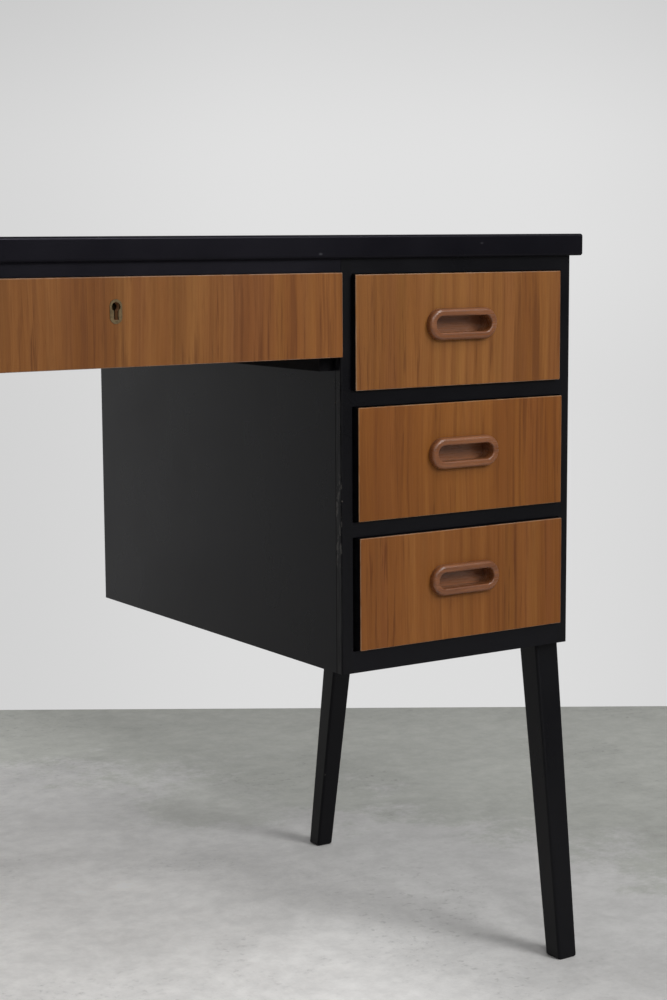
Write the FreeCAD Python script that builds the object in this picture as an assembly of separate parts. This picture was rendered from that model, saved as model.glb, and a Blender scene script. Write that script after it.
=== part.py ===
import FreeCAD, Part
import os

# Writing desk with two drawer pedestals, a shallow centre drawer and four splayed legs.
# Millimetres. X runs along the desk, Y from the front to the back, Z up from the floor.
# The origin is on the floor, in the middle of the whole desk's box.

# ---- desktop ----
desk_height = 720.0
desktop_thickness = 21.0
desktop_end_overhang = 10.5
desktop_front_overhang = 7.0
desktop_back_overhang = 7.0
desktop_edge_radius = 2.5

# ---- carcass ----
leg_height = 317.0                # floor to the underside of the pedestals
pedestal_width = 268.0
kneehole_width = 458.0
carcass_depth = 482.0
panel_thickness = 12.0
lipping_depth = 10.0              # solid strip glued to the front edge of each side panel
lipping_edge_radius = 2.0
bottom_thickness = 20.5
back_thickness = 5.0
back_rebate = 6.0                 # how far the back is let into each side panel
divider_thickness = 14.0
divider_depth = 50.0
top_rail_height = 13.7
top_rail_depth = 60.0
kneehole_rail_height = 12.0
kneehole_back_height = 80.0
kneehole_back_thickness = 12.0

# ---- legs ----
leg_top_size = 28.0
leg_foot_size = 22.5
rear_leg_slimmer = 2.3            # rear legs thinner than the front ones, on their inner side
leg_corner_radius = 3.0
leg_sole_bevel = 1.5
leg_side_inset = 14.5             # leg centre to the outer side of the pedestal
leg_front_inset = 27.0            # leg centre at its top, behind the front of the carcass
leg_rear_inset = 103.0            # leg centre at its top, ahead of the back of the carcass
leg_front_splay = 44.0            # how far a front foot stands out forwards
leg_rear_splay = 51.0             # how far a rear foot stands out backwards
leg_lean = 2.5                    # how far each foot stands in towards the kneehole
stud_diameter = 8.0
stud_in_leg = 32.0
stud_in_bottom = 16.0
stud_side_inset = 20.0            # stud to the outer side, clear of the side panel
stud_play = 0.1

# ---- drawers ----
rows = ("lower", "middle", "upper")
drift = {"lower": 1.9, "middle": 0.6, "upper": -2.1}   # how far each drawer sits off centre
front_thickness = 19.0
front_proud = 6.0                 # fronts stand out from the frame
front_edge_radius = 1.0
front_corner_radius = 1.0         # seen from the front
front_end_gap = 2.5               # front to stile, each end, when centred
front_reveal = 0.8                # front to rail, above and below
front_lap = 6.0                   # wood left in front of the dovetails
running_gap = 0.2                 # drawer side above what it slides on
space_behind_drawers = 45.0       # drawer sides to the rail at the back of the kneehole
side_thickness = 10.0
back_board_thickness = 10.0
side_headroom = 8.0               # drawer side below the underside of what is above it
tail_slope = 1.0 / 7.0
pin_tip = 5.0                     # width of a dovetail pin at its narrow end
pedestal_tails = 4
centre_tails = 3
panel_groove_height = 8.0         # bottom panel above the lower edge of the side
panel_sheet = 4.0
groove_depth = 5.0
groove_play = 0.2

# ---- runners and stops ----
runner_width = 16.0
centre_runner_width = 14.0
centre_runner_height = 15.5
centre_runner_setback = 1.0       # centre runner behind the drawer front
stop_length = 12.0
stop_height = 8.0

# ---- centre drawer ----
centre_front_height = 76.0
centre_front_gap = 1.6            # front to pedestal, each end
centre_front_reveal = 0.5         # front to the rail above it
centre_side_raise = 2.5           # drawer side above the lower edge of the front

# ---- recessed pulls ----
pull_length = 78.5
pull_height = 29.3
pull_below_top = 47.3             # pull centre below the top edge of the front
pull_off_centre = 1.5             # pull centre nearer to the kneehole than the front's middle
pull_proud = 7.0
pull_rim = 7.1                    # outer edge of the rim to the mouth
pull_rim_lap = 3.0                # rim over the face of the front
pull_outer_radius = 3.2
pull_mouth_radius = 1.6
pull_lip = 8.0                    # depth of the mouth before it widens
pull_undercut = 1.2
pull_floor = 3.0
pocket_floor = 3.5                # wood of the front left behind the pull
pocket_play = 0.1

# ---- lock ----
lock_width = 44.0
lock_height = 38.0
lock_depth = 12.0
lock_plate = 2.0
lock_case_inset = 3.0             # case narrower than its plates, each side
lock_play = 0.1
bolt_width = 16.0
bolt_thickness = 6.0
bolt_length = 24.0
bolt_throw = 6.0
bolt_play = 0.3
bolt_setback = 2.5                # bolt to the back of the front
keyhole_below_top = 25.0          # centre of the keyhole's round part
keyhole_radius = 4.0
keyhole_slot_width = 4.4
keyhole_drop = 11.0               # round part's centre to the foot of the slot
plate_width = 11.5
plate_height = 20.5
plate_thickness = 2.0
plate_proud = 0.4
plate_drop = 4.0                  # centre of the brass plate below the round part
keeper_length = 44.0
keeper_thickness = 1.5
keeper_margin = 3.0               # keeper beyond the bolt, front and back
keeper_corner_radius = 2.0
keeper_play = 0.1                 # between the keeper's edges and the rail it is let into
keeper_slot_depth = 9.0
keeper_slot_play = 1.0            # space in the rail around the thrown bolt

# ---- places worked out from the sizes above ----
top_of_carcass = desk_height - desktop_thickness
inner_x = kneehole_width / 2.0
outer_x = inner_x + pedestal_width
ankle_share = 1.0 - leg_sole_bevel / leg_height
ankle_size = leg_top_size + (leg_foot_size - leg_top_size) * ankle_share
foot_reach = leg_front_splay * ankle_share - leg_front_inset + ankle_size / 2.0
rear_foot_reach = (leg_rear_splay * ankle_share - leg_rear_inset
                   + (ankle_size - rear_leg_slimmer) / 2.0)
reach_ahead = max(desktop_front_overhang, foot_reach)
reach_behind = max(desktop_back_overhang, rear_foot_reach)
frame_front = (reach_ahead - reach_behind - carcass_depth) / 2.0
frame_back = frame_front + carcass_depth
face_y = frame_front - front_proud
front_back_y = face_y + front_thickness
side_end_y = face_y + front_lap
box_back_y = frame_back - kneehole_back_thickness - space_behind_drawers
inside_y = frame_back - back_thickness
opening_height = (top_of_carcass - leg_height - bottom_thickness - top_rail_height
                  - (len(rows) - 1) * divider_thickness) / len(rows)
front_height = opening_height - 2.0 * front_reveal
front_width = pedestal_width - 2.0 * panel_thickness - 2.0 * front_end_gap
seat_z = {row: leg_height + bottom_thickness + i * (opening_height + divider_thickness)
          for i, row in enumerate(rows)}
centre_top_z = top_of_carcass - kneehole_rail_height - centre_front_reveal
centre_low_z = centre_top_z - centre_front_height
centre_seat_z = centre_low_z + centre_side_raise - running_gap
bolt_y = front_back_y - bolt_setback - bolt_thickness

os.makedirs("parts", exist_ok=True)


def box(x0, x1, y0, y1, z0, z1):
    """A block between two corners."""
    return Part.makeBox(x1 - x0, y1 - y0, z1 - z0, FreeCAD.Vector(x0, y0, z0))


def save(node, *solids):
    """Write one node: one solid, or several that share its name."""
    shape = solids[0] if len(solids) == 1 else Part.makeCompound(list(solids))
    shape.exportStep("parts/" + node + ".step")


def edges_where(shape, test):
    return [edge for edge in shape.Edges if test(edge.BoundBox)]


def mirrored(shape):
    """The same piece on the other end of the desk."""
    return shape.mirror(FreeCAD.Vector(0, 0, 0), FreeCAD.Vector(1, 0, 0))


def stadium(cx, cz, half_straight, radius, y0, y1, upright=False):
    """A block with two half-round ends, seen from the front, from y0 back to y1."""
    along = FreeCAD.Vector(0, 0, 1) if upright else FreeCAD.Vector(1, 0, 0)
    across = FreeCAD.Vector(-1, 0, 0) if upright else FreeCAD.Vector(0, 0, 1)
    centre = FreeCAD.Vector(cx, y0, cz)
    far = centre + along * half_straight
    near = centre - along * half_straight
    up = across * radius
    tip = along * radius
    edges = [Part.LineSegment(near + up, far + up).toShape(),
             Part.Arc(far + up, far + tip, far - up).toShape(),
             Part.LineSegment(far - up, near - up).toShape(),
             Part.Arc(near - up, near - tip, near + up).toShape()]
    return Part.Face(Part.Wire(edges)).extrude(FreeCAD.Vector(0, y1 - y0, 0))


# ---------------------------------------------------------------- carcass

def desktop():
    board = box(-outer_x - desktop_end_overhang, outer_x + desktop_end_overhang,
                frame_front - desktop_front_overhang, frame_back + desktop_back_overhang,
                top_of_carcass, desk_height)
    return board.makeFillet(desktop_edge_radius, board.Edges)


def side_panel(x0, rebate_x):
    """A side panel behind its lipping, rebated along the back edge at rebate_x."""
    panel = box(x0, x0 + panel_thickness, frame_front + lipping_depth, frame_back,
                leg_height, top_of_carcass)
    return panel.cut(box(rebate_x, rebate_x + back_rebate, inside_y, frame_back,
                         leg_height, top_of_carcass))


def lipping(x0, round_x):
    """The solid strip on a panel's front edge, rounded along its corner at round_x."""
    strip = box(x0, x0 + panel_thickness, frame_front, frame_front + lipping_depth,
                leg_height, top_of_carcass)
    corner = edges_where(strip, lambda b: b.ZLength > 1.0 and abs(b.XMin - round_x) < 0.01
                         and abs(b.YMin - frame_front) < 0.01)
    return strip.makeFillet(lipping_edge_radius, corner)


def pedestal_bottom():
    board = box(inner_x + panel_thickness, outer_x - panel_thickness, frame_front, inside_y,
                leg_height, leg_height + bottom_thickness)
    for y in stud_places():
        board = board.cut(stud(y, stud_play))
    return board


def pedestal_back():
    return box(inner_x + panel_thickness - back_rebate, outer_x - panel_thickness + back_rebate,
               inside_y, frame_back, leg_height, top_of_carcass)


def pedestal_rails():
    """Two rails under the desktop and the dividers between the drawers."""
    x0 = inner_x + panel_thickness
    x1 = outer_x - panel_thickness
    top_z = top_of_carcass - top_rail_height
    rails = [box(x0, x1, frame_front, frame_front + top_rail_depth, top_z, top_of_carcass),
             box(x0, x1, inside_y - top_rail_depth, inside_y, top_z, top_of_carcass)]
    for row in rows[1:]:
        rails.append(box(x0, x1, frame_front, frame_front + divider_depth,
                         seat_z[row] - divider_thickness, seat_z[row]))
    return rails


def pedestal_runners():
    """A wooden strip on each side panel, level with the divider in front of it."""
    strips = []
    for row in rows[1:]:
        for x0 in (inner_x + panel_thickness, outer_x - panel_thickness - runner_width):
            strips.append(box(x0, x0 + runner_width, frame_front + divider_depth, inside_y,
                              seat_z[row] - divider_thickness, seat_z[row]))
    return strips


def centre_runner():
    return box(inner_x - centre_runner_width, inner_x, front_back_y + centre_runner_setback,
               frame_back - kneehole_back_thickness,
               centre_seat_z - centre_runner_height, centre_seat_z)


def stops():
    """Blocks behind the drawer sides of one pedestal, and of one end of the centre drawer."""
    blocks = []
    places = [(x0, seat_z[row]) for row in rows
              for x0 in (inner_x + panel_thickness, outer_x - panel_thickness - runner_width)]
    for x0, z in places:
        blocks.append(box(x0, x0 + runner_width, box_back_y + running_gap,
                          box_back_y + running_gap + stop_length, z, z + stop_height))
    blocks.append(box(inner_x - centre_runner_width, inner_x, box_back_y + running_gap,
                      box_back_y + running_gap + stop_length,
                      centre_seat_z, centre_seat_z + stop_height))
    return blocks


def keeper_slot(depth, play):
    """Space for the thrown bolt above the underside of the kneehole rail."""
    rail_z = top_of_carcass - kneehole_rail_height
    return box(-bolt_width / 2.0 - play, bolt_width / 2.0 + play,
               bolt_y - play, bolt_y + bolt_thickness + play, rail_z, rail_z + depth)


def keeper_plate(play):
    """The round-cornered plate in the underside of the kneehole rail, before it is slotted."""
    half = keeper_length / 2.0 + play
    margin = keeper_margin + play
    rail_z = top_of_carcass - kneehole_rail_height
    plate = box(-half, half, bolt_y - margin, bolt_y + bolt_thickness + margin,
                rail_z, rail_z + keeper_thickness)
    corners = edges_where(plate, lambda b: b.ZLength > 1.0)
    return plate.makeFillet(keeper_corner_radius + play, corners)


def lock_keeper():
    return keeper_plate(0.0).cut(keeper_slot(keeper_thickness, bolt_play))


def kneehole_rail():
    rail = box(-inner_x, inner_x, frame_front, frame_front + top_rail_depth,
               top_of_carcass - kneehole_rail_height, top_of_carcass)
    return rail.cut(keeper_plate(keeper_play)).cut(keeper_slot(keeper_slot_depth,
                                                               keeper_slot_play))


def kneehole_back_rail():
    return box(-inner_x, inner_x, frame_back - kneehole_back_thickness, frame_back,
               top_of_carcass - kneehole_back_height, top_of_carcass)


# ---------------------------------------------------------------- legs

def rounded_square(cx, cy, z, size, radius):
    """A wire: a square with rounded corners, level at height z."""
    half = size / 2.0
    plate = box(cx - half, cx + half, cy - half, cy + half, z, z + 1.0)
    plate = plate.makeFillet(radius, edges_where(plate, lambda b: b.ZLength > 0.5))
    low = [face for face in plate.Faces if face.BoundBox.ZMax < z + 0.01]
    return low[0].OuterWire


def leg(top_y, foot_y, slimmer=0.0):
    """A tapered, splayed leg with a bevelled sole, on the right of the desk."""
    top_x = outer_x - leg_side_inset + slimmer / 2.0
    ankle_x = top_x - leg_lean * ankle_share
    ankle_y = top_y + (foot_y - top_y) * ankle_share
    sole = rounded_square(top_x - leg_lean, foot_y, 0.0,
                          leg_foot_size - slimmer - 2.0 * leg_sole_bevel,
                          leg_corner_radius - leg_sole_bevel / 2.0)
    ankle = rounded_square(ankle_x, ankle_y, leg_sole_bevel, ankle_size - slimmer,
                           leg_corner_radius)
    head = rounded_square(top_x, top_y, leg_height, leg_top_size - slimmer, leg_corner_radius)
    shaft = Part.makeLoft([ankle, head], True, True)
    foot = Part.makeLoft([sole, ankle], True, True)
    return shaft.fuse(foot).cut(stud(top_y, stud_play))


def stud(y, play=0.0):
    return Part.makeCylinder(stud_diameter / 2.0 + play, stud_in_leg + stud_in_bottom + 2.0 * play,
                             FreeCAD.Vector(outer_x - stud_side_inset, y,
                                            leg_height - stud_in_leg - play))


def stud_places():
    return (frame_front + leg_front_inset, frame_back - leg_rear_inset)


# ---------------------------------------------------------------- drawer boxes

def pins(x0, x1, end_y, shoulder_y, z0, z1, tails):
    """The wedges between dovetails: narrow at the board's end, wide at the shoulder."""
    pitch = (z1 - z0) / tails
    tip = pin_tip / 2.0
    root = tip + abs(shoulder_y - end_y) * tail_slope
    wedges = []
    for i in range(tails + 1):
        z = z0 + i * pitch
        corners = [FreeCAD.Vector(x0, end_y, z - tip), FreeCAD.Vector(x0, shoulder_y, z - root),
                   FreeCAD.Vector(x0, shoulder_y, z + root), FreeCAD.Vector(x0, end_y, z + tip)]
        outline = Part.makePolygon(corners + corners[:1])
        wedges.append(Part.Face(outline).extrude(FreeCAD.Vector(x1 - x0, 0, 0)))
    return wedges


def tailed_board(x0, z0, z1, tails):
    """One side board with dovetails at both ends; the rear ones start above the bottom panel."""
    x1 = x0 + side_thickness
    above_panel = z0 + panel_groove_height + panel_sheet
    board = box(x0, x1, side_end_y, box_back_y, z0, z1)
    front_pins = pins(x0, x1, side_end_y, front_back_y, z0, z1, tails)
    rear_pins = pins(x0, x1, box_back_y, box_back_y - back_board_thickness,
                     above_panel, z1, tails)
    for wedge in front_pins + rear_pins[1:]:
        board = board.cut(wedge)
    return board


class DrawerBox:
    """Two dovetailed sides, a back, and a bottom slid into grooves from behind."""

    def __init__(self, cx, width, z0, z1, tails):
        inside = width / 2.0 - side_thickness
        panel_low = z0 + panel_groove_height
        panel_top = panel_low + panel_sheet
        tongue = inside + groove_depth - groove_play
        groove = box(cx - inside - groove_depth, cx + inside + groove_depth,
                     side_end_y, box_back_y, panel_low - groove_play, panel_top)
        back = box(cx - width / 2.0, cx + width / 2.0, box_back_y - back_board_thickness,
                   box_back_y, panel_top, z1)
        self.boards = [tailed_board(cx - width / 2.0, z0, z1, tails),
                       tailed_board(cx + inside, z0, z1, tails)]
        self.sides = [board.cut(groove) for board in self.boards]
        self.back = back.cut(self.boards[0]).cut(self.boards[1])
        self.bottom = box(cx - tongue, cx + tongue, front_back_y - groove_depth + groove_play,
                          box_back_y, panel_low, panel_top)


def front_board(cx, width, z0, height, drawer):
    """A veneered front: eased edges, blind dovetail sockets and the groove for the bottom."""
    board = box(cx - width / 2.0, cx + width / 2.0, face_y, front_back_y, z0, z0 + height)
    board = board.makeFillet(front_corner_radius, edges_where(board, lambda b: b.YLength > 1.0))
    board = board.makeFillet(front_edge_radius,
                             edges_where(board, lambda b: b.YMax < face_y + 0.01))
    panel = drawer.bottom.BoundBox
    inside = width / 2.0 - side_thickness
    board = board.cut(box(cx - inside, cx + inside, front_back_y - groove_depth, front_back_y,
                          panel.ZMin - groove_play, panel.ZMax))
    for tails in drawer.boards:
        board = board.cut(tails)
    return board


# ---------------------------------------------------------------- pulls

def half_profile(cx, cz, side):
    """The cup's section from its centre line outwards, above the line (side 1) or below (-1)."""
    outer = pull_height / 2.0
    mouth = outer - pull_rim
    body = outer - pull_rim_lap
    cup = mouth + pull_undercut
    crest = face_y - pull_proud
    back = front_back_y - pocket_floor

    def at(radius, y):
        return FreeCAD.Vector(cx, y, cz + side * radius)

    def rounded(radius, ease):
        """The two ends and the middle of a quarter round that meets the crest at radius."""
        slant = ease * (1.0 - 0.5 ** 0.5)
        toward = 1.0 if radius > mouth else -1.0
        return (at(radius - toward * ease, crest), at(radius - toward * slant, crest + slant),
                at(radius, crest + ease))

    in_crest, in_mid, in_wall = rounded(mouth, pull_mouth_radius)
    out_crest, out_mid, out_wall = rounded(outer, pull_outer_radius)
    edges = [Part.makePolygon([at(0.0, back), at(0.0, back - pull_floor),
                               at(cup, back - pull_floor), at(cup, crest + pull_lip),
                               at(mouth, crest + pull_lip), in_wall]),
             Part.Arc(in_wall, in_mid, in_crest).toShape(),
             Part.makePolygon([in_crest, out_crest]),
             Part.Arc(out_crest, out_mid, out_wall).toShape(),
             Part.makePolygon([out_wall, at(outer, face_y), at(body, face_y), at(body, back),
                               at(0.0, back)])]
    return Part.Face(Part.Wire([edge for group in edges for edge in group.Edges]))


def pull(cx, cz):
    """A cup with two half-round ends, a rounded rim and a lip that fingers hook behind."""
    straight = (pull_length - pull_height) / 2.0
    turn = FreeCAD.Vector(0, 1, 0)
    pieces = [half_profile(cx - straight, cz, side).extrude(FreeCAD.Vector(2.0 * straight, 0, 0))
              for side in (1.0, -1.0)]
    for end, angle in ((cx + straight, 180.0), (cx - straight, -180.0)):
        pieces.append(half_profile(end, cz, 1.0).revolve(FreeCAD.Vector(end, 0, cz), turn, angle))
    cup = pieces[0]
    for piece in pieces[1:]:
        cup = cup.fuse(piece)
    return cup.removeSplitter()


def pull_pocket(cx, cz):
    straight = (pull_length - pull_height) / 2.0
    return stadium(cx, cz, straight, pull_height / 2.0 - pull_rim_lap + pocket_play,
                   face_y, front_back_y - pocket_floor)


# ---------------------------------------------------------------- lock

def keyhole(y0, y1):
    """A round hole with a narrow slot below it, through everything from y0 back to y1."""
    z = centre_top_z - keyhole_below_top
    hole = Part.makeCylinder(keyhole_radius, y1 - y0, FreeCAD.Vector(0, y0, z),
                             FreeCAD.Vector(0, 1, 0))
    half = keyhole_slot_width / 2.0
    return hole.fuse(box(-half, half, y0, y1, z - keyhole_drop, z))


def lock_body(play):
    """The case with its top and back plates, let into the back of the front."""
    half = lock_width / 2.0
    inset = half - lock_case_inset
    low = centre_top_z - lock_height
    case = box(-inset - play, inset + play, front_back_y - lock_depth - play, front_back_y,
               low + lock_case_inset - play, centre_top_z)
    back = box(-half - play, half + play, front_back_y - lock_plate - play, front_back_y,
               low - play, centre_top_z)
    top = box(-half - play, half + play, front_back_y - lock_depth - play, front_back_y,
              centre_top_z - lock_plate - play, centre_top_z)
    return case.fuse(back).fuse(top).removeSplitter()


def lock_case():
    half = bolt_width / 2.0 + bolt_play
    channel = box(-half, half, bolt_y - bolt_play, bolt_y + bolt_thickness + bolt_play,
                  centre_top_z - bolt_length - bolt_play, centre_top_z)
    return lock_body(0.0).cut(channel).cut(keyhole(front_back_y - lock_depth,
                                                   bolt_y - bolt_play))


def lock_bolt():
    bolt = box(-bolt_width / 2.0, bolt_width / 2.0, bolt_y, bolt_y + bolt_thickness,
               centre_top_z - bolt_length, centre_top_z)
    notch = Part.makeCylinder(keyhole_radius, bolt_thickness,
                              FreeCAD.Vector(0, bolt_y, centre_top_z - bolt_length),
                              FreeCAD.Vector(0, 1, 0))
    return bolt.cut(notch)


def escutcheon_plate(y0, y1, play):
    half_straight = (plate_height - plate_width) / 2.0
    z = centre_top_z - keyhole_below_top - plate_drop
    return stadium(0.0, z, half_straight, plate_width / 2.0 + play, y0, y1, upright=True)


def escutcheon():
    y0 = face_y - plate_proud
    return escutcheon_plate(y0, y0 + plate_thickness, 0.0).cut(keyhole(y0, y0 + plate_thickness))


# ---------------------------------------------------------------- build

def save_pair(name, shape):
    """The same piece at both ends of the desk: name holds {} for left or right."""
    save(name.format("right"), shape)
    save(name.format("left"), mirrored(shape))


def save_carcass():
    save("desktop", desktop())
    inside = inner_x + panel_thickness
    shell = outer_x - panel_thickness
    save_pair("{}_inner_side", side_panel(inner_x, inside - back_rebate))
    save_pair("{}_outer_side", side_panel(shell, shell))
    strips = [lipping(inner_x, inner_x), lipping(shell, outer_x)]
    save("side_lippings", *(strips + [mirrored(strip) for strip in strips]))
    save_pair("{}_pedestal_bottom", pedestal_bottom())
    save_pair("{}_pedestal_back", pedestal_back())
    for end, turn in (("right", lambda shape: shape), ("left", mirrored)):
        save(end + "_rails", *[turn(rail) for rail in pedestal_rails()])
    runners = pedestal_runners()
    save("pedestal_runners", *(runners + [mirrored(strip) for strip in runners]))
    save("centre_runners", centre_runner(), mirrored(centre_runner()))
    save("drawer_stops", *(stops() + [mirrored(block) for block in stops()]))
    save("kneehole_rail", kneehole_rail())
    save("lock_keeper", lock_keeper())
    save("kneehole_back_rail", kneehole_back_rail())


def save_legs():
    front_y, rear_y = stud_places()
    save_pair("front_{}_leg", leg(front_y, front_y - leg_front_splay))
    save_pair("rear_{}_leg", leg(rear_y, rear_y + leg_rear_splay, rear_leg_slimmer))
    studs = [stud(y) for y in stud_places()]
    save("leg_studs", *(studs + [mirrored(piece) for piece in studs]))


def save_box(name, drawer):
    save(name + "_sides", *drawer.sides)
    save(name + "_back", drawer.back)
    save(name + "_bottom", drawer.bottom)


def save_pedestal_drawer(name, row, cx, pull_x):
    drawer = DrawerBox(cx, front_width, seat_z[row] + running_gap,
                       seat_z[row] + opening_height - side_headroom, pedestal_tails)
    front_z = seat_z[row] + front_reveal
    pull_z = front_z + front_height - pull_below_top
    front = front_board(cx, front_width, front_z, front_height, drawer)
    save(name + "_front", front.cut(pull_pocket(pull_x, pull_z)))
    save(name + "_pull", pull(pull_x, pull_z))
    save_box(name, drawer)


def save_centre_drawer():
    width = kneehole_width - 2.0 * centre_front_gap
    drawer = DrawerBox(0.0, width, centre_seat_z + running_gap, centre_top_z - side_headroom,
                       centre_tails)
    front = front_board(0.0, width, centre_low_z, centre_front_height, drawer)
    front = front.cut(lock_body(lock_play)).cut(keyhole(face_y, front_back_y))
    front = front.cut(escutcheon_plate(face_y, face_y + plate_thickness - plate_proud, lock_play))
    save("centre_front", front)
    save_box("centre", drawer)
    save("lock_case", lock_case())
    save("lock_bolt", lock_bolt())
    save("escutcheon", escutcheon())


save_carcass()
save_legs()
for row in rows:
    for end, sign in (("right", 1.0), ("left", -1.0)):
        middle = (inner_x + outer_x) / 2.0 + drift[row]
        save_pedestal_drawer(end + "_" + row, row, sign * middle,
                             sign * (middle - pull_off_centre))
save_centre_drawer()
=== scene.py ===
import math

import bpy
import numpy as np
from mathutils import Matrix, Vector


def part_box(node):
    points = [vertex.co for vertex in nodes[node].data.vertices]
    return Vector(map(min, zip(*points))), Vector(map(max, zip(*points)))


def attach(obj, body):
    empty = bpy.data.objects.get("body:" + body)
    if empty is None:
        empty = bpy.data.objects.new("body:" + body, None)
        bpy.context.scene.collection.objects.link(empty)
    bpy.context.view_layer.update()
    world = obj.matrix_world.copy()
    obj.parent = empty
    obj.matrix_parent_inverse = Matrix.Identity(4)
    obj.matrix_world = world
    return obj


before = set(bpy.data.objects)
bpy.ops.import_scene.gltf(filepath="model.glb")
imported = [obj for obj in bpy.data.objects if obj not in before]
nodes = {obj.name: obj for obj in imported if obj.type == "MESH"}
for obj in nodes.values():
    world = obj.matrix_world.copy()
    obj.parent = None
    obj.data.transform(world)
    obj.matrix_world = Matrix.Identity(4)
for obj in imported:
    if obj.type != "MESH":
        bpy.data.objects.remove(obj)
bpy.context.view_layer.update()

# A writing desk with two pedestals of drawers, painted black, with teak fronts.
# Metres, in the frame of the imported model: X along the desk, Y to the back, Z up.

# ---- places read from the frame ----
ENDS = ("right", "left")
ROWS = ("lower", "middle", "upper")
PEDESTAL_DRAWERS = ["%s_%s" % (end, row) for end in ENDS for row in ROWS]
PEDESTAL_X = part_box("right_inner_side")[0].x
FRAME_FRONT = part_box("side_lippings")[0].y
FACE_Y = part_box("right_upper_front")[0].y
FRONT_BACK_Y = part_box("right_upper_front")[1].y
INSIDE_LOW = Vector((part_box("right_inner_side")[1].x, FRAME_FRONT,
                     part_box("right_pedestal_bottom")[1].z))
INSIDE_HIGH = Vector((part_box("right_outer_side")[0].x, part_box("right_pedestal_back")[0].y,
                      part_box("desktop")[0].z))

# ---- camera ----
CAMERA_PLACE = Vector((PEDESTAL_X - 0.9834, FRAME_FRONT - 1.4844, 0.7192))
CAMERA_TURN = math.radians(33.283)      # from straight ahead towards +X
CAMERA_DIP = math.radians(7.643)        # below level
CAMERA_ROLL = math.radians(-0.329)
LENS = 70.88                            # millimetres, on a 36 mm sensor

# ---- studio ----
WALL_DISTANCE = 2.956                   # from the camera, level, along its view
STUDIO_SIZE = 26.0
WALL_HEIGHT = 9.0
WALL_GREY = 0.684
FLOOR_GREY = (0.90, 0.89, 0.875)        # worn concrete
STAIN_SPOT = (0.47, 0.41, 0.0)          # behind the right rear leg
FLOOR_STAIN = (0.80, 0.82, 0.775)       # how much of FLOOR_GREY a stain gives back
SKY_AHEAD = 0.24                        # what the fronts face
SKY_BEHIND = 0.46
SKY_ABOVE = 0.42
KEY_PLACE = Vector((1.40, -3.1, 2.1))
LAMP_TARGET = Vector((0.3, -0.1, 0.40))
KEY_SIZE = 1.5
KEY_POWER = 52.5
TOP_PLACE = Vector((1.05, -1.55, 2.5))
TOP_SIZE = 0.9
TOP_POWER = 17.0
FILL_PLACE = Vector((-1.0, -3.2, 2.3))
FILL_SIZE = 1.1
FILL_POWER = 24.0

# ---- finishes ----
VENEER_THICKNESS = 0.0009
PAINT_REACH = 0.030                     # how far paint runs into the pedestals
PAINT_RAGGED = 0.006                    # how far its edge strays from that
SEAM_WIDTH = 0.0009                     # between a front strip and the board behind it
SLACK = 0.0002                          # so that a face counts as inside its own bounds
FACE_SLACK = 0.0005                     # likewise, where a face's edge is rounded

BLACK_DEEP = (0.0011, 0.0011, 0.0021)   # the lacquer's clouding lies between these two
BLACK_LIGHT = (0.0025, 0.0024, 0.0037)
DUST = (0.10, 0.10, 0.105)
CHIPPED = (0.13, 0.115, 0.105)          # lacquer gone from an edge
SCUFFED = (0.036, 0.036, 0.040)
STREAKED_AND_HIGHLIGHT = (0.016, 0.0155, 0.017)       # rubbed along the front strips, and partly a painted highlight
FLAKED = (0.060, 0.057, 0.055)
SEAM = (0.0006, 0.0006, 0.0008)
WAXED_DEEP = (0.0014, 0.0013, 0.0020)
WAXED_LIGHT = (0.0085, 0.0080, 0.0092)
PLAIN_SHEEN = (1.0, 1.0, 1.0)
BOARD_SHEEN = (0.95, 0.95, 1.0)
COOL_SHEEN = (0.84, 0.80, 1.0)          # a slightly blue reflection
PAINT_GLOSS = 0.17                      # specular level of the lacquer
BOARD_GLOSS = 0.18
RAIL_GLOSS = 0.24
PAINT_RELIEF = 0.00006
PAINT_BUMP = 0.6                        # strength of that relief

BEECH_LIGHT = (0.52, 0.36, 0.21)
BEECH_DARK = (0.40, 0.26, 0.145)
PLYWOOD_LIGHT = (0.50, 0.35, 0.21)
PLYWOOD_DARK = (0.42, 0.28, 0.16)
TEAK_RUBBED = (0.330, 0.205, 0.125)     # the veneer's edges
TEAK_PORE = (0.085, 0.027, 0.006)
PULL_PORE = (0.070, 0.026, 0.012)
# Painted light: the paler colour that the hollow of each pull is lightened towards.
PULL_HOLLOW_PAINTED_LIGHT = (0.345, 0.158, 0.082)     # what the hollow of a pull tends to
# Bare wood in the keyhole's walls, made paler with painted light in that shaded hole.
KEYHOLE_WOOD_AND_PAINTED_LIGHT = (0.360, 0.200, 0.105)
WOOD_RELIEF = 0.00008
PULL_RELIEF = 0.00007
WOOD_BUMP = 0.5

# Each metal: clean, tarnished, and the lower end of its roughness.
BRASS = ((0.168, 0.123, 0.067), (0.098, 0.071, 0.040), 0.42)
STUD_STEEL = ((0.42, 0.41, 0.40), (0.22, 0.20, 0.18), 0.38)
SCREW_STEEL = ((0.30, 0.29, 0.28), (0.16, 0.14, 0.12), 0.40)
BROWNED_IRON = ((0.110, 0.084, 0.048), (0.060, 0.044, 0.026), 0.50)
METAL_RELIEF = 0.00002

GRAIN_ALONG_X = (0.06, 1.0, 1.0)        # a pattern stretched this way runs along X
GRAIN_ALONG_Y = (1.0, 0.06, 1.0)
GRAIN_ALONG_Z = (1.0, 1.0, 0.06)

# Each leaf of veneer is tinted by its row, and each front shows another part of the log.
LEAVES = {"lower": (1.03, 1.03, 1.05), "middle": (1.00, 0.99, 0.87),
          "upper": (1.03, 1.12, 1.28), "centre": (0.92, 0.97, 1.08)}
LOG_START = {"right": 0.31, "left": 1.27, "centre": 2.6}
LOG_STEP = 0.83                         # from one row to the next
CENTRE_HEART = 0.06                     # where the centre front's plain middle stands
# Painted light: the centre front's veneer is lightened towards its right end by this factor.
CENTRE_RIGHT_PAINTED_LIGHT = 1.18                 # how much lighter that front is at its right end

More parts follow.
